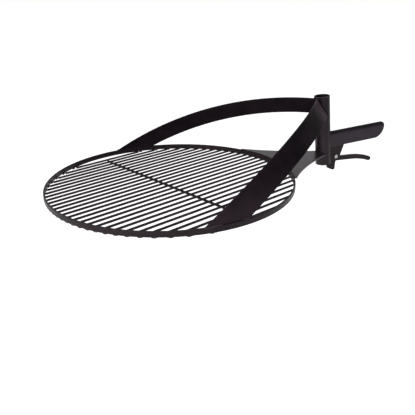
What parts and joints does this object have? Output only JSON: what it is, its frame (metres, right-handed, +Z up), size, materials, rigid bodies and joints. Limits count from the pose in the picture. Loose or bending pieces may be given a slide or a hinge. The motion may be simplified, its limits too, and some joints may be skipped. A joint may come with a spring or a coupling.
{
  "type": "fire pit grill",
  "caption": "Round swing-out grill grate of parallel rods in a flat ring, carried by two curved arms on a post sleeve, with a handle and a pivoting brake lever.",
  "frame": {"origin": "centre of the post sleeve's bottom end, on the sleeve's axis", "axes": "+Z up along the sleeve's axis, +X from the grate's centre towards the sleeve and the handle, +Y to the right of someone who stands at the handle and faces the grate"},
  "size_m": [0.9441, 0.6, 0.2134],
  "materials": {
    "sleeve_paint": "black heat-resistant paint, satin",
    "arm_paint": "black heat-resistant paint, satin",
    "handle_paint": "black heat-resistant paint, satin",
    "lever_paint": "black heat-resistant paint, satin",
    "grate_steel": "oiled black steel, satin",
    "zinc": "zinc plated, semi-bright"
  },
  "bodies": {
    "frame": {"post_sleeve": "sleeve_paint", "grate_ring": "grate_steel", "cross_bar": "grate_steel", "tie_plate": "arm_paint", "left_arm": "arm_paint", "right_arm": "arm_paint", "handle": "handle_paint", "left_cheek": "handle_paint", "right_cheek": "handle_paint", "pivot_bolt": "zinc", "pivot_nut": "zinc", "grate_rod_01": "grate_steel", "grate_rod_02": "grate_steel", "grate_rod_03": "grate_steel", "grate_rod_04": "grate_steel", "grate_rod_05": "grate_steel", "grate_rod_06": "grate_steel", "grate_rod_07": "grate_steel", "grate_rod_08": "grate_steel", "grate_rod_09": "grate_steel", "grate_rod_10": "grate_steel", "grate_rod_11": "grate_steel", "grate_rod_12": "grate_steel", "grate_rod_13": "grate_steel", "grate_rod_14": "grate_steel", "grate_rod_15": "grate_steel", "grate_rod_16": "grate_steel", "grate_rod_17": "grate_steel", "grate_rod_18": "grate_steel", "grate_rod_19": "grate_steel", "grate_rod_20": "grate_steel", "grate_rod_21": "grate_steel", "grate_rod_22": "grate_steel", "grate_rod_23": "grate_steel", "grate_rod_24": "grate_steel", "grate_rod_25": "grate_steel", "grate_rod_26": "grate_steel", "grate_rod_27": "grate_steel", "grate_rod_28": "grate_steel"},
    "lever": {"brake_lever": "lever_paint"}
  },
  "joints": [
    {"name": "lever_pivot", "type": "hinge", "parent": "frame", "child": "lever", "pos_m": [0.0345, 0, 0.0135], "axis": [0, -1, 0], "range_deg": [0, 22]}
  ]
}
